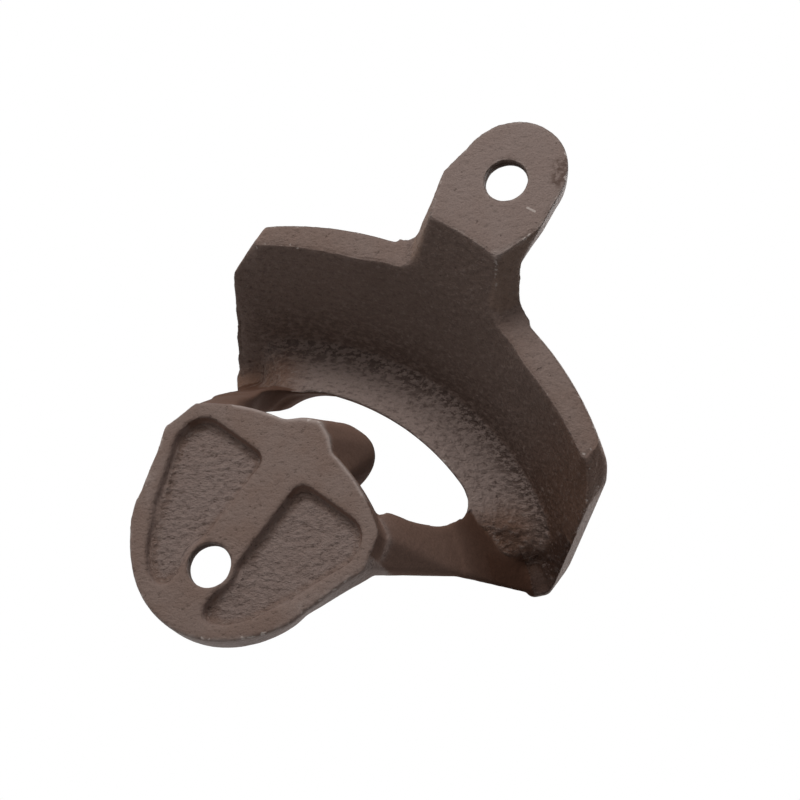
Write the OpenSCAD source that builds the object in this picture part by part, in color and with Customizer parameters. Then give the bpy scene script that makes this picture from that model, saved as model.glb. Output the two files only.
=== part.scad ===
// Wall-mounted bottle opener, one casting: a hood and a mouth turned about one axis,
// hung between a screw tab above and a screw plate below. Millimetres.
// The wall is the plane y = 0, the hood points to -Y and +Z is up.
// The origin lies on the wall, midway between the two screw holes.

/* [Screw holes] */
// Distance between the upper and the lower screw hole
hole_span = 64; // [62:0.5:72]
// Diameter of the screw holes
hole_d = 5.8; // [4:0.1:6.4]
// Diameter of the countersink at the front
sink_d = 9.6; // [8:0.1:11]
// Straight length of the hole behind the countersink
hole_land = 1.8; // [1:0.1:2.4]

/* [Tab] */
// Thickness of the tab
tab_t = 3.5; // [3:0.1:5]
// Radius of the tab's round top
tab_r = 7.6; // [6.5:0.1:9]
// Height of the round top's centre above the upper hole
tab_rise = 1.2; // [0:0.1:2.5]
// Draft of the tab's edge
tab_draft = 11; // [4:0.5:16]
// How much wider each side of the tab is at its shoulders than at its round top
tab_flare = 0.6; // [0:0.1:1.2]
// Height of the tab's shoulders below the upper hole
shoulder_drop = 3; // [2:0.1:4]
// Half width of the neck's back at the fold
neck_half = 5.6; // [4.6:0.1:6.6]
// Angle of the neck's slanting sides to the wall
neck_lean = 67.3; // [60:0.5:72]
// Angle between the neck's sides and the upright
neck_spread = 23; // [18:0.5:26]
// Radius of the hollow between the neck's sides and the rim
neck_hollow = 4; // [2:0.1:6]

/* [Hood] */
// Depth from the wall to the front of the hood
depth = 32.5; // [31.5:0.1:34.5]
// Height of the hood's turning axis below the lower hole
axis_drop = 5.5; // [4.5:0.1:6.5]
// Inner radius of the neck where it folds out of the tab
fold_r = 60.2; // [59:0.1:61]
// Angle at which the neck falls away from the wall
neck_angle = 32.3; // [30:0.1:35]
// Angle at which the roof falls away from the wall
roof_angle = 27.2; // [26:0.1:28.4]
// Thickness of the roof
roof_t = 3.6; // [2.6:0.1:4.4]
// Distance of the roof's back rim from the wall
rim_depth = 9; // [7.5:0.1:10.5]
// Width of the rim's flat back at its ends
rim_w = 2.2; // [1.6:0.1:2.6]
// Half width of the rim
rim_half = 29.2; // [28:0.1:30.5]
// Half width of the hood at its widest place
hood_half = 31.6; // [30.6:0.1:33]
// Distance from the rim to the widest place
end_run = 5.4; // [4:0.1:8]
// Half width of the hood at its front
hood_half_front = 29.3; // [28.4:0.1:30.5]
// Angle from the middle to each end of the hood
end_angle = 43.4; // [43.2:0.1:44.4]
// How far the rim's outer edge is cut back beside the neck
rim_cut = 0.5; // [0.2:0.1:1]
// Thickness of the hood's front wall
front_t = 1.6; // [1.4:0.1:1.8]
// Rounding of the hood's upper front edge
nose_r = 2.6; // [1.5:0.1:3]
// Rounding of the hood's lower front edge
hem_r = 1; // [0.6:0.1:1.1]

/* [Mouth] */
// Radius of the ring's upper face where it meets the wall
ring_r = 26.8; // [26.2:0.1:27.4]
// Angle at which the ring rises away from the wall
ring_angle = 24.2; // [23.4:0.1:25]
// Thickness of the ring's arms
ring_t = 3.4; // [2.6:0.1:4.2]
// Distance of the lip's edge from the wall
lip_depth = 23.2; // [22:0.1:24.4]
// Height of the lip's edge above the arms' upper face
lip_rise = 0.8; // [0.4:0.1:1.2]
// Thickness of the lip at its edge
lip_edge = 0.4; // [0.3:0.1:1]
// Draft of the lip's underside
lip_draft = 18; // [14:0.5:20]
// Distance of the corner between roof and lip from the wall
web_depth = 27.4; // [26.4:0.1:28.2]
// Angle from the middle to each end of the web that fills this corner
web_angle = 36.6; // [34:0.1:38]
// Length over which the lip runs out at each end of the web
lip_run = 5.6; // [4:0.1:7]
// How far the lip has drawn back at these ends
lip_fade = 5; // [3:0.1:5.6]
// Radius of the hollow in this corner
web_r = 3; // [2:0.1:4]
// Radius of the groove beside the web
groove_r = 2.4; // [2.2:0.1:3]
// Angle from the middle to the centre of each round end of the mouth
mouth_angle = 20.8; // [19:0.1:22]

/* [Arms] */
// Half width over the arms' outer edges, carried on to the wall
arm_half = 17.9; // [17.4:0.1:18.6]
// Angle at which the arms spread
arm_flare = 17.6; // [16:0.1:18.4]
// Angle at which the underside of the arms rises away from the wall
under_angle = 19.6; // [18:0.1:20.4]
// Height of that underside above the lower hole, at the wall
under_rise = 13; // [12:0.1:13.6]
// Half distance between the arms' roots at the plate
root_half = 13.4; // [12:0.1:14.4]
// How far the inner edge of these roots starts below the plate's crown
root_drop = 1.2; // [0.4:0.1:2]
// Distance from the wall at which the arms have left their roots
root_depth = 16.5; // [13:0.1:19]

/* [Plate] */
// Thickness of the plate
plate_t = 4.2; // [3.4:0.1:5]
// Radius of the plate's round bottom
plate_r = 12.8; // [12:0.1:13.6]
// Height of the round bottom's centre above the lower hole
plate_rise = 3.5; // [2.5:0.1:4.5]
// Half width of the plate at its lower corners
plate_half = 17.3; // [16.6:0.1:18]
// Height of the lower corners above the lower hole
corner_rise = 11; // [10:0.1:12]
// Half width of the plate at its upper corners
crown_half = 16; // [15:0.1:16.4]
// Rounding of the plate's corners
corner_r = 0.8; // [0.4:0.1:1.6]

/* [Pockets] */
// Depth of the pockets in the plate's back
pocket_t = 1.2; // [0.6:0.1:1.8]
// Half width of the rib between the pockets
rib_half = 3; // [2.4:0.1:3.6]
// Width of the margin around the pockets
margin = 2.1; // [1.6:0.1:2.8]
// Width of the margin beside the pockets' upper corners
side_margin = 1.7; // [1.4:0.1:2.2]
// Width of the margin above the pockets
crown_margin = 0.5; // [0.4:0.1:1.2]
// Rounding of the pockets' corners
pocket_r = 3.2; // [1.6:0.1:3.4]

/* [Tooth] */
// Distance of the tooth's front from the wall
tooth_reach = 13.4; // [11:0.1:15]
// Height of the tooth's root above the lower hole, at the wall
tooth_rise = 23.4; // [22.6:0.1:24.4]
// How far the tooth rises from its root to its front
tooth_lift = 3.6; // [2:0.1:5]
// Half width of the tooth's root
tooth_foot = 7.2; // [6:0.1:8]
// Half width of the tooth's front
tooth_half = 4.8; // [4.2:0.1:5.6]
// Rounding of the tooth's top
tooth_r = 4; // [2.5:0.1:4.1]
// Height of the tooth's front face
tooth_h = 6; // [5.4:0.1:7]

/* [Hidden] */
$fn = 96;
turn_fn = 180;
far = 100;
lap = 1;
nip = 0.05;
bite = 0.2;
tuck = 10;
tilt = 0.5;
arc_from = 0.75;
arc_to = 0.33;
cast_brown = [0.38, 0.30, 0.26];

// Heights of the two holes, the round top's centre, the turning axis and the plate's corners
hole_top = hole_span / 2;
hole_low = -hole_span / 2;
round_z = hole_top + tab_rise;
axis_z = hole_low - axis_drop;
bottom_z = hole_low + plate_rise;
corner_z = hole_low + corner_rise;
function crown_at(x) = axis_z + sqrt(pow(ring_r, 2) - pow(x, 2));
crown_z = crown_at(crown_half);
tooth_z = hole_low + tooth_rise;

// Radii of the roof and of the ring, and the arms' half width, at a distance from the wall
rim_r = fold_r - rim_depth * tan(neck_angle);
function roof_at(d) = rim_r - (d - rim_depth) * tan(roof_angle);
function ring_at(d) = ring_r + d * tan(ring_angle);
function arm_at(d) = arm_half + d * tan(arm_flare);
roof_out = roof_t / cos(roof_angle);
ring_out = ring_t / cos(ring_angle);
lip_r = ring_at(lip_depth) + lip_rise;
lip_low = [lip_r - lip_edge * cos(ring_angle), lip_depth + lip_edge * sin(ring_angle)];
function under_lip(d) = lip_low[0] + (d - lip_low[1]) * tan(lip_draft);
wall_d = depth - front_t;
mouth_r = (ring_at(lip_depth) - ring_r) / 2;
mouth_mid = ring_r + mouth_r;

// Points on a circle
function on_circle(centre, radius, angle) = centre + radius * [cos(angle), sin(angle)];
function arc(centre, radius, from, to, steps = 8) =
    [for (i = [0 : steps]) on_circle(centre, radius, from + (to - from) * i / steps)];

// One rounded corner, and an outline of [x, y, radius] corners with each of them rounded
function unit(v) = v / norm(v);
function flat(p) = [p[0], p[1]];
function corner_arc(before, here, after, radius) =
    let (a = unit(before - here),
         b = unit(after - here),
         half = acos(a * b) / 2,
         centre = here + unit(a + b) * radius / sin(half),
         from = here + a * radius / tan(half) - centre,
         to = here + b * radius / tan(half) - centre,
         start = atan2(from[1], from[0]),
         sweep = atan2(from[0] * to[1] - from[1] * to[0], from * to))
    arc(centre, radius, start, start + sweep);
function rounded(corners) = [
    for (i = [0 : len(corners) - 1])
        let (n = len(corners),
             here = flat(corners[i]),
             before = flat(corners[(i + n - 1) % n]),
             after = flat(corners[(i + 1) % n]),
             radius = corners[i][2])
        each radius <= 0 ? [here] : corner_arc(before, here, after, radius)
];

// Both halves of an outline from its right half
function flip(p) = [for (k = [0 : len(p) - 1]) k == 0 ? -p[k] : p[k]];
function both_sides(half) = concat(half, [for (i = [len(half) - 1 : -1 : 0]) flip(half[i])]);

// A front outline carried forward between two distances from the wall
module forward(from, to) {
    rotate([90, 0, 0])
        translate([0, 0, from])
            linear_extrude(to - from)
                children();
}

// A section in radius and distance from the wall, turned about the hood's axis
module turned(half = 60) {
    translate([0, 0, axis_z])
        rotate([90, 0, 0])
            rotate([0, 0, 90 - half])
                rotate_extrude(angle = 2 * half, $fn = turn_fn)
                    children();
}

// A plan outline carried upwards from the hood's axis
module upright() {
    translate([0, 0, axis_z])
        linear_extrude(far)
            children();
}

module both_ends() {
    for (side = [0, 1])
        mirror([side, 0, 0])
            children();
}

// Neck, roof and front wall
module roof_section() {
    polygon(rounded([
        [fold_r, 0, 0],
        [rim_r, rim_depth, 0],
        [roof_at(wall_d), wall_d, 0],
        [under_lip(wall_d) - bite, wall_d, 0],
        [under_lip(depth) - bite, depth, hem_r],
        [roof_at(depth) + roof_out, depth, nose_r],
        [rim_r + roof_out, rim_depth, 0],
        [fold_r + roof_out, 0, 0],
    ]));
}

// Sides of the roof, seen from above
module roof_plan() {
    behind = rim_half - (hood_half - rim_half) * rim_depth / end_run;
    polygon(both_sides([
        [behind, 0],
        [hood_half, -rim_depth - end_run],
        [hood_half_front, -depth - lap],
    ]));
}

// Everything behind the roof's rim, beside the neck: the neck's slanting side and the flat rim
module beside_neck() {
    translate([neck_half, 0, axis_z + fold_r])
        rotate([0, neck_spread, 0])
            linear_extrude(far, center = true)
                polygon(rounded([
                    [-lap / tan(neck_lean), lap, 0],
                    [rim_depth / tan(neck_lean), -rim_depth, neck_hollow],
                    [far, -rim_depth, 0],
                    [far, lap, 0],
                ]));
}

// Acute outer edge of the rim, cut back more and more towards the ends
module rim_edge() {
    middle = rim_r + roof_out - rim_cut;
    drop = middle - sqrt(pow(rim_r + rim_w, 2) - pow(rim_half, 2));
    edge_r = (pow(drop, 2) + pow(rim_half, 2)) / (2 * drop);
    forward(0, depth)
        translate([0, axis_z + middle - edge_r])
            difference() {
                translate([2 * neck_half, 0])
                    square(far);
                circle(edge_r, $fn = turn_fn);
            }
}

// Tab, down into the neck, about the centre of its round top
module tab_outline() {
    shoulder = tab_r + tab_flare;
    difference() {
        union() {
            circle(tab_r);
            polygon(both_sides([
                [shoulder, axis_z + rim_r - round_z],
                [shoulder, -tab_rise - shoulder_drop],
                [tab_r, 0],
            ]));
        }
        translate([0, axis_z - round_z])
            circle(fold_r + bite, $fn = turn_fn);
    }
}

module tab() {
    translate([0, 0, round_z])
        rotate([90, 0, 0])
            linear_extrude(tab_t, scale = 1 - tab_t * tan(tab_draft) / tab_r)
                tab_outline();
}

// Web between roof and lip, with the lip's edge and its drafted underside
module web_section() {
    start = web_depth - 2 * web_r;
    end = wall_d + 3 * bite;
    above = [roof_at(start) + nip, start];
    corner = [roof_at(web_depth) + nip, web_depth];
    lip = [lip_r, lip_depth];
    polygon(concat(
        corner_arc(above, corner, lip, web_r),
        [lip, lip_low],
        [[under_lip(end), end], [roof_at(end) + lap, end], above + [lap, 0]]
    ));
}

// Foot of the web on the arms
module foot_section() {
    back = lip_low[1] + nip;
    end = wall_d + bite / 2;
    polygon([
        [lip_r, back],
        [under_lip(end) + lap, end],
        [ring_at(end) - ring_out / 2, end],
        [ring_at(back) - ring_out / 2, back],
    ]);
}

// Space behind the lip where it runs out, at one end of the web
module lip_end(inset = 0) {
    slant = lip_fade / lip_run;
    translate([0, 0, axis_z])
        rotate([0, web_angle, 0])
            linear_extrude(far)
                translate([-inset, 0])
                    polygon([
                        [-lip_run - lap, slant * lap - lip_depth],
                        [lap, -slant * lap - lip_depth - lip_fade],
                        [lap, slant * lap - lip_depth],
                    ]);
}

// Bottom of the groove beside the web
module groove_section() {
    apex_d = (roof_at(0) - ring_r + 2 * nip) / (tan(roof_angle) + tan(ring_angle));
    start = apex_d - 3 * groove_r;
    end = wall_d + bite;
    apex = [roof_at(apex_d) + nip, apex_d];
    polygon(concat(
        corner_arc([roof_at(start) + nip, start], apex, [ring_at(start) - nip, start], groove_r),
        [[ring_at(end) - ring_out / 2, end], [roof_at(end) + lap, end]]
    ));
}

module arm_section() {
    end = wall_d + 2 * bite;
    polygon([
        [ring_at(root_depth), root_depth],
        [ring_at(end), end],
        [ring_at(end) - ring_out, end],
        [ring_at(root_depth) - ring_out, root_depth],
    ]);
}

// Sides of the arms, seen from above
module arm_plan() {
    polygon(both_sides([
        [arm_half, 0],
        [arm_at(depth), -depth],
    ]));
}

// Root of an arm, from the plate's corner to the ring
module arm_root() {
    centre = [0, axis_z];
    reach = ring_at(root_depth) - bite;
    width = arm_at(root_depth) - bite;
    outer = acos(width / reach);
    inner = 90 - mouth_angle;
    low = hole_low + under_rise + (root_depth + lap) * tan(under_angle) + nip;
    hull() {
        forward(bite, plate_t - bite)
            polygon([
                [crown_half - bite, crown_z - bite],
                [plate_half - bite, corner_z + bite],
                [root_half, corner_z + bite],
                [root_half, crown_at(root_half) - root_drop],
            ]);
        forward(root_depth + bite, root_depth + lap)
            polygon(concat(
                arc(centre, reach, outer, inner, 4),
                [[reach * cos(inner), low], [width, low]]
            ));
    }
}

// Round end of the mouth, wider below the lip by the lip's draft
module mouth_end() {
    radius = mouth_r + 2 * nip;
    rotate_extrude()
        polygon([
            [0, -lap],
            [radius, -lap],
            [radius, lip_depth],
            [radius + (depth - lip_depth) * tan(lip_draft), depth],
            [0, depth],
        ]);
}

// Curved slot of the mouth
module mouth_opening() {
    side = far * [sin(mouth_angle), cos(mouth_angle)];
    forward(-lap, depth)
        translate([0, axis_z])
            difference() {
                polygon([[0, 0], side, flip(side)]);
                circle(ring_r - ring_out, $fn = turn_fn);
            }
    both_ends()
        translate([mouth_mid * sin(mouth_angle), 0, axis_z + mouth_mid * cos(mouth_angle)])
            rotate([90, 0, 0])
                mouth_end();
}

// Space below the arms
module below_arms() {
    translate([0, 0, hole_low + under_rise])
        rotate([-under_angle, 0, 0])
            translate([-far / 2, -far / 2, -far])
                cube([far, far, far]);
}

// Plate against the wall, seen from the front
module plate_outline() {
    run = [plate_half, corner_rise - plate_rise];
    touch = atan2(run[1], run[0]) - acos(plate_r / norm(run));
    foot = on_circle([0, bottom_z], plate_r - lap, touch - tuck);
    corner = [plate_half, corner_z];
    above = corner + ring_r * unit([crown_half, crown_z] - corner);
    intersection() {
        union() {
            translate([0, bottom_z])
                circle(plate_r);
            polygon(rounded(both_sides([
                [foot[0], foot[1], 0],
                [corner[0], corner[1], corner_r],
                [above[0], above[1], 0],
            ])));
        }
        translate([0, axis_z])
            circle(ring_r, $fn = turn_fn);
    }
}

// Pocket in the back of the plate
module pocket_outline() {
    inner_r = plate_r - margin;
    from = -acos(rib_half / inner_r);
    bottom = arc([0, bottom_z], inner_r, arc_from * from, arc_to * from);
    top = crown_z - crown_margin;
    polygon(rounded(concat(
        [[rib_half, bottom_z + inner_r * sin(from), pocket_r / 2]],
        [for (p = bottom) [p[0], p[1], 0]],
        [
            [plate_half - margin, corner_z, pocket_r],
            [crown_half - side_margin, top, pocket_r],
            [rib_half, top, pocket_r / 2],
        ]
    )));
}

// Tooth that hooks under the cap
module tooth() {
    front_z = tooth_z + tooth_lift;
    hull() {
        forward(0, plate_t)
            polygon(both_sides([
                [tooth_foot, corner_z],
                [tooth_foot, crown_z + margin],
                [tooth_half / 2, tooth_z - lap],
                [nip, tooth_z],
            ]));
        forward(tooth_reach - lap, tooth_reach)
            polygon(rounded(both_sides([
                [tooth_half, front_z - tooth_h, corner_r],
                [tooth_half, front_z, tooth_r],
            ])));
    }
}

// Screw hole with its countersink at the front
module screw_hole(z, thickness) {
    translate([0, 0, z])
        rotate([90, 0, 0])
            rotate_extrude()
                polygon([
                    [0, -lap],
                    [hole_d / 2, -lap],
                    [hole_d / 2, hole_land],
                    [sink_d / 2, thickness],
                    [sink_d / 2, depth],
                    [0, depth],
                ]);
}

// Neck, roof and tab
module hood() {
    difference() {
        union() {
            intersection() {
                turned(end_angle) roof_section();
                upright() roof_plan();
            }
            tab();
        }
        both_ends() {
            beside_neck();
            rim_edge();
        }
    }
}

// Web, groove and arms around the mouth
module mouth() {
    difference() {
        turned(web_angle) web_section();
        both_ends() lip_end();
    }
    intersection() {
        difference() {
            union() {
                turned(end_angle - tilt) groove_section();
                turned() arm_section();
                difference() {
                    turned(web_angle - tilt) foot_section();
                    both_ends() lip_end(bite);
                }
            }
            mouth_opening();
        }
        upright() arm_plan();
    }
}

module arm_roots() {
    difference() {
        both_ends() arm_root();
        mouth_opening();
    }
}

module opener_casting() {
    color(cast_brown)
        difference() {
            union() {
                hood();
                difference() {
                    mouth();
                    below_arms();
                }
                arm_roots();
                forward(0, plate_t) plate_outline();
                tooth();
            }
            both_ends()
                forward(-lap, pocket_t) pocket_outline();
            screw_hole(hole_top, tab_t);
            screw_hole(hole_low, plate_t);
        }
}

opener_casting();
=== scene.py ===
import math

import bmesh
import bpy
from mathutils import Euler, Matrix, Vector


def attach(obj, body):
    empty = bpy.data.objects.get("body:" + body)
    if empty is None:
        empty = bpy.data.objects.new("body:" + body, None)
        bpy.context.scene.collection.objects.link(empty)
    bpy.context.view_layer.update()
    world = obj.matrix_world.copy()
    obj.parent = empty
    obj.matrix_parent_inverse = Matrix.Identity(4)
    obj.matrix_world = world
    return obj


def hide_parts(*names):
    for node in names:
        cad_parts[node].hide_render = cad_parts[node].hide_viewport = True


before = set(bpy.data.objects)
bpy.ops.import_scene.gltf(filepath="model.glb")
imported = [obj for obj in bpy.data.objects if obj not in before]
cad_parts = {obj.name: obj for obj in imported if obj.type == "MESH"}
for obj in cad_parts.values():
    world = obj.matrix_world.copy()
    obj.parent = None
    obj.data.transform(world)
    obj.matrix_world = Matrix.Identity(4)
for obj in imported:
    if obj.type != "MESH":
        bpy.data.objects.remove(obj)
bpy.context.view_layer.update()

scene = bpy.context.scene
scene.view_settings.view_transform = "Standard"


# Small helpers for node trees

tiny = 0.001  # keeps divisors off zero


def feed(tree, value, socket):
    if isinstance(value, bpy.types.NodeSocket):
        tree.links.new(value, socket)
    else:
        socket.default_value = value


def addNode(tree, kind, inputs=None, **settings):
    node = tree.nodes.new(kind)
    for key, value in settings.items():
        setattr(node, key, value)
    for key, value in (inputs or {}).items():
        feed(tree, value, node.inputs[key])
    return node


def openSocket(sockets, name):
    return next(s for s in sockets if s.enabled and s.name == name)


def calc(tree, operation, a, b=0.0, clamp=False):
    node = addNode(tree, "ShaderNodeMath", {0: a, 1: b}, operation=operation, use_clamp=clamp)
    return node.outputs[0]


def product(tree, *factors):
    total = factors[0]
    for factor in factors[1:]:
        total = calc(tree, "MULTIPLY", total, factor)
    return total


def opposite(tree, mask):
    return calc(tree, "SUBTRACT", 1.0, mask)


def span(tree, a, b):
    return calc(tree, "SQRT", calc(tree, "ADD", product(tree, a, a), product(tree, b, b)))


def vectorCalc(tree, operation, a, b=None, output=0):
    inputs = {0: a} if b is None else {0: a, 1: b}
    return addNode(tree, "ShaderNodeVectorMath", inputs, operation=operation).outputs[output]


def scaled(tree, vector, amount):
    node = addNode(tree, "ShaderNodeVectorMath", {0: vector, "Scale": amount}, operation="SCALE")
    return node.outputs[0]


def ramp(tree, value, start, end, low=0.0, high=1.0):
    node = addNode(tree, "ShaderNodeMapRange", {0: value, 1: start, 2: end, 3: low, 4: high},
                   interpolation_type="SMOOTHSTEP")
    return node.outputs[0]


def noise(tree, place, size, detail=3.0, rough=0.55):
    inputs = {"Vector": place, "Scale": size, "Detail": detail, "Roughness": rough}
    return addNode(tree, "ShaderNodeTexNoise", inputs).outputs[0]


def drawnOut(tree, place, way, pull):
    run = calc(tree, "MULTIPLY", vectorCalc(tree, "DOT_PRODUCT", place, way, 1), pull)
    return vectorCalc(tree, "SUBTRACT", place, scaled(tree, way, run))


def mixColor(tree, factor, a, b):
    return addNode(tree, "ShaderNodeMix", {0: factor, 6: a, 7: b}, data_type="RGBA").outputs[2]


def nearLine(tree, place, line):
    start, end = Vector(line["start"]), Vector(line["end"])
    along = end - start
    offset = vectorCalc(tree, "SUBTRACT", place, tuple(start))
    reached = vectorCalc(tree, "DOT_PRODUCT", offset, tuple(along), 1)
    share = calc(tree, "DIVIDE", reached, along.length_squared, True)
    step = scaled(tree, tuple(along), share)
    distance = vectorCalc(tree, "LENGTH", vectorCalc(tree, "SUBTRACT", offset, step), output=1)
    return ramp(tree, distance, line["half"] * line["soft"], line["half"])


# Finish of the casting: a thin brown coat over sand-cast iron, rubbed pale on its edges, with painted shade
# and painted highlights in its colour

coatLook = {
    "coat": (0.208, 0.147, 0.123, 1),       # open faces
    "coatPale": (0.262, 0.198, 0.176, 1),   # paler towards the tab's top and on the pockets' floors
    "coatDeepAndShade": (0.150, 0.080, 0.052, 1),   # darker mottle where the coat lies thick; painted shade in hollows and at the web's ends
    "band": (0.262, 0.198, 0.174, 1),       # paler face of the web
    "lacquer": (0.200, 0.122, 0.094, 1),    # smooth arms and tooth
    # the colour below is painted shade on the smooth arms, towards the web and on the left arm
    "lacquerShade": (0.085, 0.042, 0.028, 1),
    "flankLight": (0.290, 0.180, 0.140, 1),      # painted light on the front half of the tooth's sides
    "shade": (0.164, 0.114, 0.094, 1),      # inside of the hood
    "shadePale": (0.200, 0.140, 0.116, 1),
    "shadeEnd": (0.126, 0.072, 0.051, 1),
    "neck": (0.262, 0.180, 0.143, 1),       # sides of the neck
    "groove": (0.052, 0.027, 0.019, 1),     # painted shade beside the web's far end
    "dustAndGlint": (0.270, 0.205, 0.180, 1),       # dust on the grain's tops, partly painted glints where they catch the light
    "rubbedAndLit": (0.360, 0.285, 0.255, 1),     # back edges worn by the wall, partly painted highlight; also the painted highlight along the plate's crown
    "corner": (0.310, 0.205, 0.165, 1),     # painted light on the facets at the hood's ends
    "chip": (0.52, 0.44, 0.40, 1),          # bare metal on the edges
    "pit": (0.060, 0.036, 0.027, 1),        # bottoms of the pits; also painted shade in the screw holes
    "stain": (0.085, 0.048, 0.035, 1),      # dark patch on the tab
    "axisZ": -0.0375,                       # height of the hood's turning axis
    "boreZ": 0.032,                         # screw holes above and below the middle
    "mottleSize": 160.0,                    # sizes of the noises, per metre
    "streakSize": 1700.0,
    "speckSize": 1500.0,
    "rubSize": 420.0,
    "chipSize": 1000.0,
    "pitSize": 1300.0,
    "ridgeSize": 2300.0,
    "fineGrain": 3400.0,
    "streakWay": (-0.788, 0.0, 0.615),      # way that the sand's strokes run
    "streakPull": 0.42,
    "roughness": 0.46,
    "gloss": 0.18,
    "smoothGloss": 0.02,
    "bump": 0.8,
    "bumpDepth": 0.0004,
    "scratch": {"start": (-0.00495, 0.0, 0.03023), "end": (-0.00612, 0.0, 0.03031),
                "half": 0.00007, "soft": 3.0},
    "ridge": {"start": (-0.00570, -0.0007, 0.0222), "end": (-0.00690, -0.0070, 0.0186),
              "half": 0.00012, "soft": 2.5},
    "patch": {"start": (-0.0050, 0.0, 0.0377), "end": (-0.0061, 0.0, 0.0356),
              "half": 0.0004, "soft": 4.0},
    # how strongly each layer covers or counts
    "amounts": {
        "mottle": 0.3, "floor": 0.55, "ends": 0.9, "lacquer": 0.9, "hollowShade": 0.8,
        "seamFlecks": 0.5, "flecks": 0.4, "crests": 0.3, "pits": 0.4, "specks": 0.5,
        "boreShade": 0.8, "crown": 0.9, "rubbedAndLit": 0.6, "patch": 0.85, "scratch": 0.85, "ridge": 0.8,
        "edgeChips": 0.15, "backChips": 0.04, "innerDull": 0.6,
        "streakRough": 0.22, "smoothRough": 0.12, "bareRough": 0.15, "grainBump": 0.25, "pitBump": 0.3,
    },
    # where each layer begins and is full
    "fades": {
        "tabHeight": (0.008, 0.032),        # places in metres
        "dashHeight": (-0.005, 0.015),
        "cornerAcross": (0.0285, 0.0297),
        "cornerDepth": (0.017, 0.011),
        "neckInner": (0.0056, 0.0064),
        "neckOuter": (0.0100, 0.0085),
        "neckRadius": (0.0553, 0.0565),
        "farDepth": (0.012, 0.022),
        "farAcross": (0.008, 0.013),
        "farArm": (0.011, 0.017),
        "flankDepth": (0.0112, 0.0130),
        "flankInner": (0.0035, 0.0045),
        "flankOuter": (0.0090, 0.0070),
        "endRadius": (0.0465, 0.0410),
        "leftEndDepth": (0.022, 0.024),
        "leftEndRadius": (0.0445, 0.0415),
        "seamInner": (0.0405, 0.0455),
        "seamOuter": (0.0510, 0.0465),
        "bandRadius": (0.0405, 0.0430),
        "boreRadius": (0.0037, 0.0031),
        "boreDepth": (0.0002, 0.0007),
        "backDepth": (0.0035, 0.0012),
        "crownAcross": (0.0150, 0.0125),
        "crownFoot": (-0.0190, -0.0165),
        "crownTop": (0.0, -0.004),
        "bandTurn": (0.45, 0.80),           # tangents of the turn about the axis
        "endTurn": (0.42, 0.62),
        "leftEndTurn": (0.70, 0.80),
        "seamTurn": (0.78, 0.70),
        "shadeEndTurn": (-0.25, -0.65),
        "shadePaleTurn": (0.05, 0.45),
        "mottle": (0.35, 0.65),             # levels of a noise or a mask
        "tops": (0.54, 0.64),
        "lows": (0.48, 0.39),
        "bandLows": (0.48, 0.38),
        "seamLows": (0.54, 0.46),
        "dashes": (0.42, 0.35),
        "seamFlecks": (0.58, 0.66),
        "flecks": (0.60, 0.68),
        "crests": (0.52, 0.68),
        "pits": (0.31, 0.24),
        "specks": (0.64, 0.71),
        "veil": (0.3, 0.7),
        "sandy": (0.1, 0.9),
        "rubbedAndLit": (0.42, 0.62),
        "patch": (0.38, 0.56),
        "chips": (0.76, 0.86),
        "edges": (0.2, 0.6),
        "dots": (0.50, 0.60),
    },
}


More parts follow.
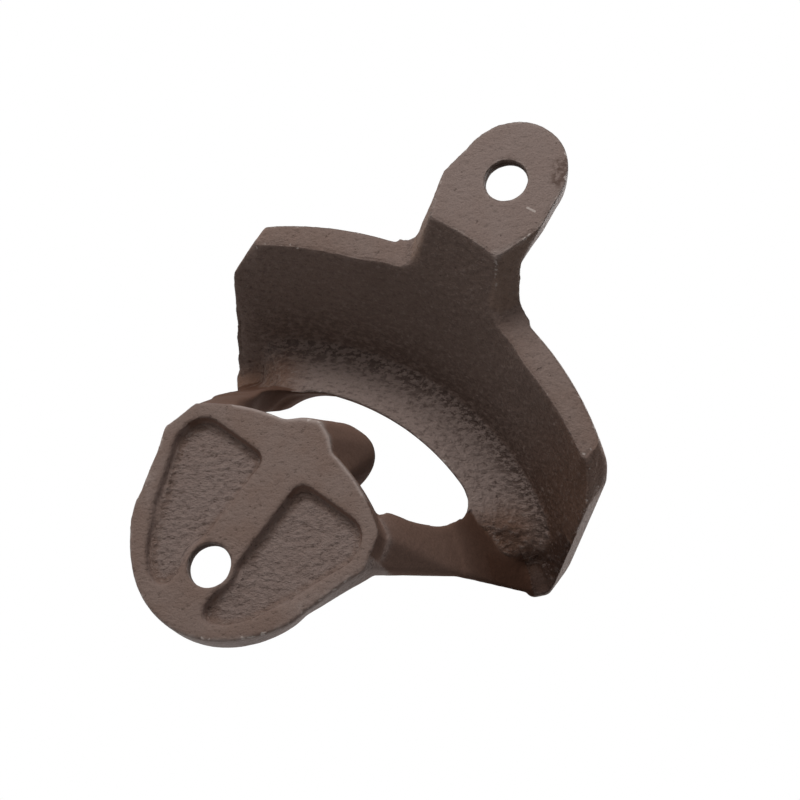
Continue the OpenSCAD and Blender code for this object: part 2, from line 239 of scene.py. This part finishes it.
def makeCoat(look):
    material = bpy.data.materials.new("coatedIron")
    material.use_nodes = True
    tree = material.node_tree
    tree.nodes.clear()
    amounts = look["amounts"]
    place = addNode(tree, "ShaderNodeTexCoord").outputs["Object"]
    axes = addNode(tree, "ShaderNodeSeparateXYZ", {0: place}).outputs
    depth = calc(tree, "MULTIPLY", axes[1], -1.0)
    across = calc(tree, "ABSOLUTE", axes[0])
    rise = calc(tree, "MAXIMUM", calc(tree, "SUBTRACT", axes[2], look["axisZ"]), tiny)
    turn = calc(tree, "DIVIDE", across, rise)
    swing = calc(tree, "DIVIDE", axes[0], rise)
    radius = span(tree, across, rise)

    def told(name):
        return addNode(tree, "ShaderNodeAttribute", attribute_name=name).outputs["Fac"]

    def times(*factors):
        return product(tree, *factors)

    def largest(*masks):
        top = masks[0]
        for mask in masks[1:]:
            top = calc(tree, "MAXIMUM", top, mask)
        return top

    def fade(value, name, *levels):
        return ramp(tree, value, *look["fades"][name], *levels)

    def level(mask, off, on):
        return ramp(tree, mask, 0.0, 1.0, off, on)

    def paint(color, mask, name):
        return mixColor(tree, mask, color, look[name])

    wear, outer, hollow, relief, sandy = map(told, ("edgeWear", "outer", "hollow", "relief", "sandy"))
    smooth, inner, band, pocket, groove = map(told, ("smooth", "inner", "band", "pocket", "groove"))

    # the coat, by region
    mottle = fade(noise(tree, place, look["mottleSize"]), "mottle")
    color = mixColor(tree, times(mottle, amounts["mottle"]), look["coat"], look["coatDeepAndShade"])
    color = paint(color, fade(axes[2], "tabHeight", 0.0, 0.5), "coatPale")
    color = paint(color, times(band, fade(turn, "bandTurn", 0.9, 0.25)), "band")
    floor = times(pocket, opposite(tree, hollow))
    color = paint(color, times(floor, amounts["floor"]), "coatPale")
    # painted light on the facets at the hood's ends
    litCorner = times(fade(across, "cornerAcross"), fade(depth, "cornerDepth"), opposite(tree, inner))
    color = paint(color, litCorner, "corner")
    shade = mixColor(tree, fade(swing, "shadeEndTurn"), look["shade"], look["shadeEnd"])
    shade = paint(shade, fade(swing, "shadePaleTurn"), "shadePale")
    color = mixColor(tree, inner, color, shade)
    neck = times(inner, fade(across, "neckInner"), fade(across, "neckOuter"), fade(radius, "neckRadius"))
    color = paint(color, neck, "neck")
    # painted shade beside the web's far end
    color = paint(color, groove, "groove")
    # painted shade at the web's ends and at the hood's lower left end
    ends = times(band, fade(radius, "endRadius"), fade(turn, "endTurn"))
    leftEnd = times(fade(depth, "leftEndDepth"), fade(swing, "leftEndTurn"), fade(radius, "leftEndRadius"))
    color = paint(color, times(largest(ends, leftEnd), amounts["ends"]), "coatDeepAndShade")
    # painted shade on the smooth arms, towards the web and on the left arm
    far = times(fade(depth, "farDepth"), fade(across, "farAcross"))
    far = largest(far, fade(axes[0], "farArm", 0.0, 0.6))
    lacquer = mixColor(tree, far, look["lacquer"], look["lacquerShade"])
    # painted light on the front half of the tooth's sides
    flankLight = times(fade(depth, "flankDepth"), fade(across, "flankInner"), fade(across, "flankOuter"))
    lacquer = paint(lacquer, flankLight, "flankLight")
    color = mixColor(tree, times(smooth, amounts["lacquer"]), color, lacquer)
    # painted shade in hollows outside the pockets, the web and the hood
    hollowShade = times(hollow, level(pocket, 1.0, 0.3), level(band, 1.0, 0.4), level(inner, 1.0, 0.3))
    color = paint(color, times(hollowShade, amounts["hollowShade"]), "coatDeepAndShade")

    # sand grain: pale tops, partly painted glints, dark pits and a fine veil
    strokes = drawnOut(tree, place, look["streakWay"], look["streakPull"])
    streak = noise(tree, strokes, look["streakSize"], 4.0, 0.65)
    grain = noise(tree, place, look["fineGrain"], 3.0, 0.6)
    dull = level(smooth, 1.0, 0.25)
    tops = times(fade(streak, "tops"), fade(sandy, "sandy", 0.06, 0.6), dull, level(inner, 1.0, 0.3))
    color = paint(color, tops, "dustAndGlint")
    seam = times(fade(radius, "seamInner"), fade(radius, "seamOuter"), largest(band, inner),
                 fade(turn, "seamTurn"))
    lows = times(fade(streak, "lows"), fade(sandy, "sandy", 0.06, 0.24), dull)
    bandLows = times(band, fade(streak, "bandLows"), fade(radius, "bandRadius", 0.35, 0.65))
    seamLows = times(seam, fade(streak, "seamLows"), level(inner, 0.8, 0.4))
    dashes = times(fade(streak, "dashes"), dull, fade(axes[2], "dashHeight", 0.55, 0.3))
    color = paint(color, largest(lows, bandLows, seamLows, dashes), "pit")
    seamFlecks = times(seam, fade(streak, "seamFlecks"), inner, amounts["seamFlecks"])
    flecks = times(fade(streak, "flecks"), inner, amounts["flecks"])
    color = paint(color, largest(seamFlecks, flecks), "dustAndGlint")
    color = paint(color, times(fade(relief, "crests"), sandy, amounts["crests"]), "dustAndGlint")
    pit = fade(noise(tree, place, look["pitSize"], 2.0, 0.5), "pits")
    color = paint(color, times(pit, dull, amounts["pits"]), "pit")
    specks = fade(noise(tree, place, look["speckSize"], 2.0, 0.5), "specks")
    color = paint(color, times(specks, inner, amounts["specks"]), "dustAndGlint")
    color = scaled(tree, color, fade(grain, "veil", 0.92, 1.08))

    # painted shade on the walls of the two screw holes
    tall = calc(tree, "SUBTRACT", calc(tree, "ABSOLUTE", axes[2]), look["boreZ"])
    boreShade = times(fade(span(tree, across, tall), "boreRadius"), fade(depth, "boreDepth"))
    color = paint(color, times(boreShade, amounts["boreShade"]), "pit")

    # rubbed back edges with painted highlight, a painted highlight along the plate's crown, and a dark patch
    # on the tab
    chipField = noise(tree, place, look["chipSize"], 2.0, 0.6)
    back = times(wear, outer, fade(depth, "backDepth"))
    crown = times(fade(across, "crownAcross"), fade(axes[2], "crownFoot"), fade(axes[2], "crownTop"))
    rubbedAndLit = times(fade(noise(tree, place, look["rubSize"], 3.0, 0.6), "rubbedAndLit"), amounts["rubbedAndLit"])
    color = paint(color, times(back, largest(rubbedAndLit, times(crown, amounts["crown"]))), "rubbedAndLit")
    patch = times(nearLine(tree, place, look["patch"]), fade(chipField, "patch"))
    color = paint(color, times(patch, amounts["patch"]), "stain")

    # bare metal: chipped edges, a scratch on the tab and a dotted ridge below it
    chipping = calc(tree, "ADD", times(wear, amounts["edgeChips"]), times(back, amounts["backChips"]))
    chips = fade(calc(tree, "ADD", chipField, chipping), "chips")
    chips = times(chips, fade(wear, "edges"), level(smooth, 0.85, 0.1), level(outer, 0.1, 1.0))
    scratch = times(nearLine(tree, place, look["scratch"]), amounts["scratch"])
    dots = fade(noise(tree, place, look["ridgeSize"], 1.0, 0.5), "dots")
    ridge = times(nearLine(tree, place, look["ridge"]), dots, amounts["ridge"])
    bare = largest(chips, scratch, ridge)
    color = paint(color, bare, "chip")

    # roughness, gloss and fine relief
    roughness = calc(tree, "ADD", times(streak, amounts["streakRough"]), look["roughness"])
    roughness = calc(tree, "ADD", roughness, times(smooth, amounts["smoothRough"]))
    roughness = calc(tree, "SUBTRACT", roughness, times(bare, amounts["bareRough"]))
    dulled = largest(smooth, litCorner, boreShade, times(inner, amounts["innerDull"]))
    gloss = level(dulled, look["gloss"], look["smoothGloss"])
    height = calc(tree, "ADD", times(grain, amounts["grainBump"]), times(streak, level(sandy, 0.7, 2.2)))
    height = calc(tree, "SUBTRACT", height, times(pit, amounts["pitBump"]))
    height = times(height, level(smooth, 1.0, 0.3), level(inner, 1.0, 0.75))
    bump = addNode(tree, "ShaderNodeBump",
                   {"Strength": look["bump"], "Distance": look["bumpDepth"], "Height": height})

    shader = addNode(tree, "ShaderNodeBsdfPrincipled",
                     {"Base Color": color, "Roughness": roughness, "Normal": bump.outputs[0], "Metallic": 0.0,
                      "Specular IOR Level": gloss})
    addNode(tree, "ShaderNodeOutputMaterial", {"Surface": shader.outputs[0]})
    return material


coatedIron = makeCoat(coatLook)
print("coat ready")


# The casting itself: the solid's shape with cast roundings, sand grain and worn edges

casting = {
    "weld": 1e-6,                  # corners of the solid's triangles nearer than this are one
    "voxel": 0.00022,              # size of the remesh's cells
    "lean": (0.52, 0.37, 0.61),    # turn of the remesh, so that no edge runs along its cells
    "most": 186000,                # triangles that the finished piece may have
    "landInner": 0.00295,          # narrow land between the lower screw hole and the pockets
    "landOuter": 0.0037,
    "landBack": 0.0002,
    "landFront": 0.0016,
    "landSides": 64,
    # inputs of the surface tree
    "surface": {
        "softening": 10,           # passes that round the edges
        "fillet": 22,              # passes that fill the corners of pockets and hood
        "melt": 120,               # passes that melt the web's ends into the hood
        "calm": 10,                # passes that even out the arms
        "nearSpread": 14,          # passes that tell edges
        "spread": 39,              # passes that tell hollows
        "axisZ": -0.0375,          # height of the axis that the hood is turned about
        "boreZ": -0.032,           # the lower screw hole, left as it is
        "boreRadius": 0.0043,
        "boreFade": 0.0008,
        "pocketSink": 0.0005,      # how much deeper the pockets are than the solid's
        "pocketTop": -0.0135,
        "pocketFloor": 0.0013,     # distances from the wall between which their floors lie
        "pocketBack": 0.0025,
        "swell": 0.0015,           # how much fuller the plate's sides are than the solid's
        "swellZ": -0.0300,
        "swellReach": 0.0052,
        "sideSlope": 0.511,        # the plate's side and its round bottom, as in the solid
        "sideFoot": 0.02803,
        "roundRadius": 0.0128,
        "roundZ": -0.0285,
        "roundLap": 0.0012,
        "rimFill": 0.0008,         # how much wider the hood's rim is than the solid's
        "rimDepth": 0.009,
        "rimDepthFade": 0.0085,
        "rimRadius": 0.0548,
        "rimRadiusFade": 0.0014,
        "mouthReach": 0.0009,      # how much further the mouth's left end reaches
        "tabRise": 0.0004,         # how much higher the tab's top is
        "neckFill": 0.0005,        # how much fuller the neck's sides are
        "neckZ": 0.0215,
        "neckReach": 0.0035,
        "hoodRadius": 0.041,
        "hoodFade": 0.001,
        "webBack": 0.0222,         # distances from the wall between which the web lies
        "webFront": 0.0294,
        "webTurn": 0.752,          # tangent of the angle where the web ends
        "webTurnBefore": 0.06,
        "webTurnAfter": 0.03,
        "plateFront": 0.0056,      # the arms and the tooth are smooth in front of this
        "crestLow": -0.0190,       # heights between which the plate's top edge is smooth
        "crestHigh": 0.0,
        "seed": 7.0,
        "grainSize": 1200.0,       # pebbles of the sand, per metre
        "grainStretch": (-0.788, 0.0, 0.615),
        "grainPull": 0.5,
        "grainGain": 4.0,
        "grainHeight": 0.00004,
        "pocketGrain": 0.00011,
        "webGrain": 0.00013,
        "hoodGrain": 0.00005,
    },
    # where each change begins and is full
    "fades": {
        "swellMargin": (-0.0024, -0.0003),    # places in metres
        "swellFront": (0.0060, 0.0045),
        "swellDepth": (0.0, 0.0042),
        "outerMargin": (-0.0014, -0.0008),
        "sinkBack": (0.0002, 0.0011),
        "sinkFront": (0.0030, 0.0016),
        "rimAcross": (0.0300, 0.0285),
        "rimInner": (0.045, 0.048),
        "mouthBack": (0.013, 0.019),
        "mouthFront": (0.0275, 0.0240),
        "mouthRadius": (0.041, 0.038),
        "mouthSide": (0.0, 0.004),
        "neckInner": (0.0050, 0.0075),
        "neckOuter": (0.0130, 0.0105),
        "tabTop": (0.0345, 0.0405),
        "filletDepth": (0.0024, 0.0021),
        "endDepth": (0.019, 0.021),
        "endInner": (0.037, 0.039),
        "endOuter": (0.052, 0.050),
        "armDepth": (0.0065, 0.0085),
        "armRadius": (0.041, 0.039),
        "grooveSide": (0.004, -0.004),
        "pocketEdge": (0.0001, 0.0004),
        "rimTurn": (0.18, 0.30),              # tangents of the turn about the axis
        "mouthFrom": (0.42, 0.53),
        "mouthTo": (0.67, 0.58),
        "endFrom": (0.60, 0.70),
        "endTo": (0.93, 0.88),
        "cornerBend": (-0.00002, -0.0001),    # how far the surface stands out of its average
        "edgeBend": (0.00003, 0.0001),
        "hollowBend": (-0.00005, -0.00022),
        "calmBend": (0.00003, 0.00012),
        "endToward": (0.0, 0.2),              # how squarely a face looks at the wall
        "webToward": (0.5, 0.75),
        "floorToward": (0.5, 0.8),
        "hoodToward": (0.95, 0.8),
        "innerLeast": (0.0, 0.25),
        "innerMost": (0.8, 0.6),
        "crestToward": (0.7, 0.4),
        "calmToward": (-0.1, 0.3),
        "innerOutward": (0.015, 0.0),         # how much it looks away from the axis
    },
}


def plainCopy(node, name, weld):
    mesh = node.data.copy()
    shape = bmesh.new()
    shape.from_mesh(mesh)
    bmesh.ops.remove_doubles(shape, verts=shape.verts, dist=weld)
    shape.to_mesh(mesh)
    shape.free()
    piece = bpy.data.objects.new(name, mesh)
    scene.collection.objects.link(piece)
    return piece


def addLand(mesh, sizes):
    shape = bmesh.new()
    shape.from_mesh(mesh)
    sides = sizes["landSides"]
    boreZ = sizes["surface"]["boreZ"]
    corners = [(sizes["landInner"], sizes["landBack"]), (sizes["landOuter"], sizes["landBack"]),
               (sizes["landOuter"], sizes["landFront"]), (sizes["landInner"], sizes["landFront"])]
    turns = [2 * math.pi * i / sides for i in range(sides)]
    rings = []
    for radius, depth in corners:
        spots = [(radius * math.cos(a), -depth, boreZ + radius * math.sin(a)) for a in turns]
        rings.append([shape.verts.new(spot) for spot in spots])
    added = []
    for near, far in zip(rings, rings[1:] + rings[:1]):
        for i in range(sides):
            j = (i + 1) % sides
            added.append(shape.faces.new((near[i], near[j], far[j], far[i])))
    bmesh.ops.recalc_face_normals(shape, faces=added)
    shape.to_mesh(mesh)
    shape.free()


def settle(piece):
    graph = bpy.context.evaluated_depsgraph_get()
    mesh = bpy.data.meshes.new_from_object(piece.evaluated_get(graph))
    piece.modifiers.clear()
    piece.data = mesh


def castSurfaceTree(sizes):
    tree = bpy.data.node_groups.new("castSurface", "GeometryNodeTree")
    face = tree.interface
    face.new_socket("Geometry", in_out="OUTPUT", socket_type="NodeSocketGeometry")
    face.new_socket("Geometry", in_out="INPUT", socket_type="NodeSocketGeometry")
    kinds = {int: "NodeSocketInt", float: "NodeSocketFloat", tuple: "NodeSocketVector"}
    for name, value in sizes["surface"].items():
        face.new_socket(name, in_out="INPUT", socket_type=kinds[type(value)])
    face.new_socket("coat", in_out="INPUT", socket_type="NodeSocketMaterial")
    given = addNode(tree, "NodeGroupInput").outputs
    where = addNode(tree, "GeometryNodeInputPosition").outputs[0]
    facing = addNode(tree, "GeometryNodeInputNormal").outputs[0]

    def times(*factors):
        return product(tree, *factors)

    def plus(a, b):
        return calc(tree, "ADD", a, b)

    def minus(a, b, clamp=False):
        return calc(tree, "SUBTRACT", a, b, clamp)

    def fade(value, name, *levels):
        return ramp(tree, value, *sizes["fades"][name], *levels)

    def upTo(value, limit, soft):
        return ramp(tree, value, plus(given[limit], given[soft]), given[limit])

    def beyond(value, limit, soft):
        return ramp(tree, value, given[limit], plus(given[limit], given[soft]))

    def inside(value, low, high):
        above = calc(tree, "GREATER_THAN", value, given[low])
        return times(above, calc(tree, "LESS_THAN", value, given[high]))

    def bell(value, middle, reach):
        offset = calc(tree, "DIVIDE", minus(value, given[middle]), given[reach])
        return calc(tree, "EXPONENT", times(offset, offset, -1.0))

    def joined(x=0.0, y=0.0, z=0.0):
        return addNode(tree, "ShaderNodeCombineXYZ", {0: x, 1: y, 2: z}).outputs[0]

    def moved(geometry, offset):
        return addNode(tree, "GeometryNodeSetPosition", {"Geometry": geometry, "Offset": offset}).outputs[0]

    def blurred(field, passes):
        node = addNode(tree, "GeometryNodeBlurAttribute", data_type="FLOAT_VECTOR")
        tree.links.new(field, openSocket(node.inputs, "Value"))
        tree.links.new(passes, openSocket(node.inputs, "Iterations"))
        return openSocket(node.outputs, "Value")

    def eased(geometry, passes, share):
        pull = vectorCalc(tree, "SUBTRACT", blurred(where, passes), where)
        return moved(geometry, scaled(tree, pull, share))

    def bending(passes):
        away = vectorCalc(tree, "SUBTRACT", where, blurred(where, passes))
        return vectorCalc(tree, "DOT_PRODUCT", away, facing, output=1)

    def store(geometry, name, field):
        node = addNode(tree, "GeometryNodeStoreNamedAttribute", {"Geometry": geometry, "Name": name},
                       data_type="FLOAT", domain="POINT")
        tree.links.new(field, openSocket(node.inputs, "Value"))
        return node.outputs["Geometry"]

    # places by the distance from the wall and from the hood's axis
    axes = addNode(tree, "ShaderNodeSeparateXYZ", {0: where}).outputs
    aim = addNode(tree, "ShaderNodeSeparateXYZ", {0: facing}).outputs
    toward = aim[1]
    across = calc(tree, "ABSOLUTE", axes[0])
    handed = calc(tree, "SIGN", axes[0])
    depth = calc(tree, "MULTIPLY", axes[1], -1.0)
    rise = minus(axes[2], given["axisZ"])
    radius = span(tree, axes[0], rise)
    turn = calc(tree, "DIVIDE", across, calc(tree, "MAXIMUM", rise, tiny))
    below = calc(tree, "LESS_THAN", axes[2], given["pocketTop"])
    clear = beyond(span(tree, across, minus(axes[2], given["boreZ"])), "boreRadius", "boreFade")

    # the plate's outline, its fuller sides and its deeper pockets
    slope = plus(times(axes[2], given["sideSlope"]), given["sideFoot"])
    slope = times(slope, calc(tree, "GREATER_THAN", axes[2], minus(given["roundZ"], given["roundLap"])))
    drop = minus(axes[2], given["roundZ"])
    bow = minus(times(given["roundRadius"], given["roundRadius"]), times(drop, drop))
    side = calc(tree, "MAXIMUM", slope, calc(tree, "SQRT", calc(tree, "MAXIMUM", bow, 0.0)))
    margin = minus(across, side)
    swell = times(bell(axes[2], "swellZ", "swellReach"), fade(margin, "swellMargin"),
                  fade(depth, "swellFront"), fade(depth, "swellDepth", 1.0, 0.45), given["swell"], handed)
    outer = calc(tree, "MAXIMUM", fade(margin, "outerMargin"), opposite(tree, below))
    sink = times(fade(depth, "sinkBack"), fade(depth, "sinkFront"), opposite(tree, outer), clear,
                 given["pocketSink"], -1.0)
    sunk = moved(given["Geometry"], joined(y=sink))

    # wider rim of the hood, longer left end of the mouth, fuller neck and higher tab
    rimPart = times(fade(turn, "rimTurn"), fade(across, "rimAcross"))
    fill = times(upTo(depth, "rimDepth", "rimDepthFade"), upTo(radius, "rimRadius", "rimRadiusFade"), rimPart,
                 fade(radius, "rimInner"), given["rimFill"])
    fill = times(calc(tree, "DIVIDE", fill, calc(tree, "MAXIMUM", radius, tiny)), -1.0)
    mouthPart = times(fade(depth, "mouthBack"), fade(radius, "mouthRadius"))
    reach = times(fade(turn, "mouthFrom"), fade(turn, "mouthTo"), mouthPart, fade(depth, "mouthFront"),
                  fade(axes[0], "mouthSide"), given["mouthReach"])
    neckPart = times(fade(across, "neckInner"), fade(across, "neckOuter"))
    neck = times(bell(axes[2], "neckZ", "neckReach"), neckPart, given["neckFill"], handed)
    higher = times(fade(axes[2], "tabTop"), given["tabRise"])
    fitX = plus(plus(times(fill, axes[0]), reach), neck)
    fitted = moved(sunk, joined(x=fitX, z=plus(times(fill, rise), higher)))
    kept = store(fitted, "outer", outer)

    # round the edges, fill the corners of pockets and hood, melt the web's ends, even out the arms
    soft = addNode(tree, "GeometryNodeSetPosition",
                   {"Geometry": kept, "Position": blurred(where, given["softening"])}).outputs[0]
    shallow = times(below, clear, fade(depth, "filletDepth"))
    filletPart = calc(tree, "MAXIMUM", shallow, beyond(radius, "hoodRadius", "hoodFade"))
    filled = eased(soft, given["fillet"], times(fade(bending(given["fillet"]), "cornerBend"), filletPart))
    endTurn = times(fade(turn, "endFrom"), fade(turn, "endTo"))
    endFace = times(fade(depth, "endDepth"), fade(toward, "endToward"))
    endRing = times(fade(radius, "endInner"), fade(radius, "endOuter"))
    melted = eased(filled, given["melt"], times(endTurn, endFace, endRing))
    calmed = eased(melted, given["calm"], times(fade(depth, "armDepth"), fade(radius, "armRadius")))

    # edges and hollows, by how far the surface stands out of its own average
    bend = bending(given["spread"])
    shape = store(calmed, "edgeWear", fade(bending(given["nearSpread"]), "edgeBend"))
    shape = store(shape, "hollow", fade(bend, "hollowBend"))

    # where the hood's inside, the web, the pockets and the smooth parts lie
    hood = times(calc(tree, "GREATER_THAN", radius, given["hoodRadius"]), fade(toward, "hoodToward"))
    outward = plus(times(aim[0], axes[0]), times(aim[2], rise))
    inner = times(hood, fade(toward, "innerLeast"), fade(toward, "innerMost"), fade(outward, "innerOutward"))
    # the groove beside the web's far end, which the coat paints in shade
    groove = ramp(tree, turn, minus(given["webTurn"], given["webTurnBefore"]),
                  plus(given["webTurn"], given["webTurnAfter"]))
    groove = times(groove, calc(tree, "GREATER_THAN", depth, given["webBack"]), fade(axes[0], "grooveSide"))
    web = times(inside(depth, "webBack", "webFront"), fade(toward, "webToward"))
    web = minus(web, groove, True)
    floor = times(inside(depth, "pocketFloor", "pocketBack"), fade(toward, "floorToward"), below)
    crest = times(fade(toward, "crestToward"), inside(axes[2], "crestLow", "crestHigh"))
    smooth = calc(tree, "MAXIMUM", calc(tree, "GREATER_THAN", depth, given["plateFront"]), crest)
    smooth = times(smooth, calc(tree, "LESS_THAN", radius, given["hoodRadius"]))
    shape = store(shape, "inner", inner)
    shape = store(shape, "groove", times(groove, fade(toward, "innerLeast")))
    shape = store(shape, "band", web)
    shape = store(shape, "pocket", times(below, fade(depth, "pocketEdge")))
    shape = store(shape, "smooth", minus(smooth, web, True))

    # pebbles of the sand, lower on edges and on faces that look away from the wall
    seeded = vectorCalc(tree, "ADD", where, joined(given["seed"], given["seed"], given["seed"]))
    strokes = drawnOut(tree, seeded, given["grainStretch"], given["grainPull"])
    grain = noise(tree, strokes, given["grainSize"], 2.0)
    height = given["grainHeight"]
    for name, mask in (("webGrain", web), ("pocketGrain", floor), ("hoodGrain", hood)):
        height = plus(height, times(given[name], mask))
    shape = store(shape, "relief", grain)
    shape = store(shape, "sandy", ramp(tree, height, given["grainHeight"], given["webGrain"]))
    calm = times(fade(bend, "calmBend", 1.0, 0.15), fade(toward, "calmToward", 0.4, 1.0))
    lift = times(minus(grain, 0.5), times(height, given["grainGain"]), calm)
    fuller = moved(shape, joined(x=swell))
    rough = moved(fuller, scaled(tree, facing, lift))

    real = addNode(tree, "GeometryNodeRealizeInstances", {"Geometry": rough}).outputs[0]
    shaded = addNode(tree, "GeometryNodeSetShadeSmooth", {"Geometry": real}).outputs[0]
    coated = addNode(tree, "GeometryNodeSetMaterial", {"Geometry": shaded, "Material": given["coat"]})
    addNode(tree, "NodeGroupOutput", {0: coated.outputs[0]})
    return tree


def makeCasting(sizes, coat):
    piece = plainCopy(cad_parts["opener_casting"], "openerCasting", sizes["weld"])
    addLand(piece.data, sizes)
    lean = Euler(sizes["lean"]).to_matrix().to_4x4()
    piece.data.transform(lean)
    cells = piece.modifiers.new("cells", "REMESH")
    cells.mode = "VOXEL"
    cells.voxel_size = sizes["voxel"]
    settle(piece)
    piece.data.transform(lean.inverted())
    print("casting remeshed:", len(piece.data.polygons), "faces")
    tree = castSurfaceTree(sizes)
    surface = piece.modifiers.new("castSurface", "NODES")
    surface.node_group = tree
    values = {**sizes["surface"], "coat": coat}
    for item in tree.interface.items_tree:
        if item.in_out == "INPUT" and item.name in values:
            surface[item.identifier] = values[item.name]
    settle(piece)
    thin = piece.modifiers.new("thin", "DECIMATE")
    thin.ratio = sizes["most"] / (2 * len(piece.data.polygons))
    settle(piece)
    print("casting thinned:", len(piece.data.polygons), "triangles")
    piece.data.polygons.foreach_set("use_smooth", [True] * len(piece.data.polygons))
    piece.data.materials.clear()
    piece.data.materials.append(coat)
    return piece


openerCasting = makeCasting(casting, coatedIron)
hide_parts("opener_casting")
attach(openerCasting, "root")
print("casting finished")


# Stage: pale floor, white around, soft light

stageSet = {
    "floorZ": -0.30,
    "floorHalf": 0.8,
    "floorColor": (0.6, 0.6, 0.6, 1),
    "floorGlow": 0.88,
    "worldColor": (1, 1, 1, 1),
    "ambient": 0.13,
    "keyPlace": (0.20, 0.36, 0.24),
    "keySize": 0.24,
    "keyPower": 1.62,
    "frontPlace": (-0.18, -0.42, 0.36),
    "frontSize": 0.35,
    "frontPower": 2.2,
}


def seenWhite(tree):
    path = addNode(tree, "ShaderNodeLightPath").outputs
    seen = calc(tree, "MAXIMUM", path["Is Camera Ray"], path["Is Glossy Ray"])
    return calc(tree, "MAXIMUM", seen, path["Is Transmission Ray"])


def makeFloor(sizes):
    half = sizes["floorHalf"]
    mesh = bpy.data.meshes.new("paleFloor")
    corners = [(-half, -half), (half, -half), (half, half), (-half, half)]
    mesh.from_pydata([(x, y, sizes["floorZ"]) for x, y in corners], [], [(0, 1, 2, 3)])
    floor = bpy.data.objects.new("paleFloor", mesh)
    scene.collection.objects.link(floor)
    material = bpy.data.materials.new("paleFloor")
    material.use_nodes = True
    tree = material.node_tree
    tree.nodes.clear()
    matt = addNode(tree, "ShaderNodeBsdfDiffuse", {"Color": sizes["floorColor"]})
    strength = calc(tree, "MULTIPLY", seenWhite(tree), sizes["floorGlow"])
    glow = addNode(tree, "ShaderNodeEmission", {"Strength": strength})
    both = addNode(tree, "ShaderNodeAddShader", {0: matt.outputs[0], 1: glow.outputs[0]})
    addNode(tree, "ShaderNodeOutputMaterial", {"Surface": both.outputs[0]})
    mesh.materials.append(material)
    return floor


def makeWorld(sizes):
    world = bpy.data.worlds.new("whiteStudio")
    world.use_nodes = True
    tree = world.node_tree
    tree.nodes.clear()
    strength = ramp(tree, seenWhite(tree), 0.0, 1.0, sizes["ambient"], 1.0)
    back = addNode(tree, "ShaderNodeBackground", {"Color": sizes["worldColor"], "Strength": strength})
    addNode(tree, "ShaderNodeOutputWorld", {"Surface": back.outputs[0]})
    scene.world = world


def makeLamp(name, place, size, power):
    data = bpy.data.lights.new(name, "AREA")
    data.shape = "DISK"
    data.size = size
    data.energy = power
    lamp = bpy.data.objects.new(name, data)
    lamp.location = place
    lamp.rotation_euler = (-Vector(place)).to_track_quat("-Z", "Y").to_euler()
    scene.collection.objects.link(lamp)


makeFloor(stageSet)
makeWorld(stageSet)
makeLamp("keyLamp", stageSet["keyPlace"], stageSet["keySize"], stageSet["keyPower"])
makeLamp("frontLamp", stageSet["frontPlace"], stageSet["frontSize"], stageSet["frontPower"])
print("stage ready")


# Camera: from the wall's side, a little below the middle, rolled as the opener lies in the picture

lookout = {
    "eye": (-0.098347, 0.216628, -0.036734),
    "right": (-0.76784, -0.22264, 0.60072),
    "up": (0.51336, 0.34714, 0.78483),
    "forward": (0.38327, -0.91100, 0.15226),
    "lens": 83.252,
    "sensor": 36.0,
    "nearest": 0.01,
}


def makeCamera(view):
    data = bpy.data.cameras.new("camera")
    data.lens = view["lens"]
    data.sensor_width = view["sensor"]
    data.clip_start = view["nearest"]
    camera = bpy.data.objects.new("camera", data)
    turn = Matrix((view["right"], view["up"], -Vector(view["forward"]))).transposed()
    camera.matrix_world = Matrix.Translation(view["eye"]) @ turn.to_4x4()
    scene.collection.objects.link(camera)
    scene.camera = camera


makeCamera(lookout)
print("camera ready")
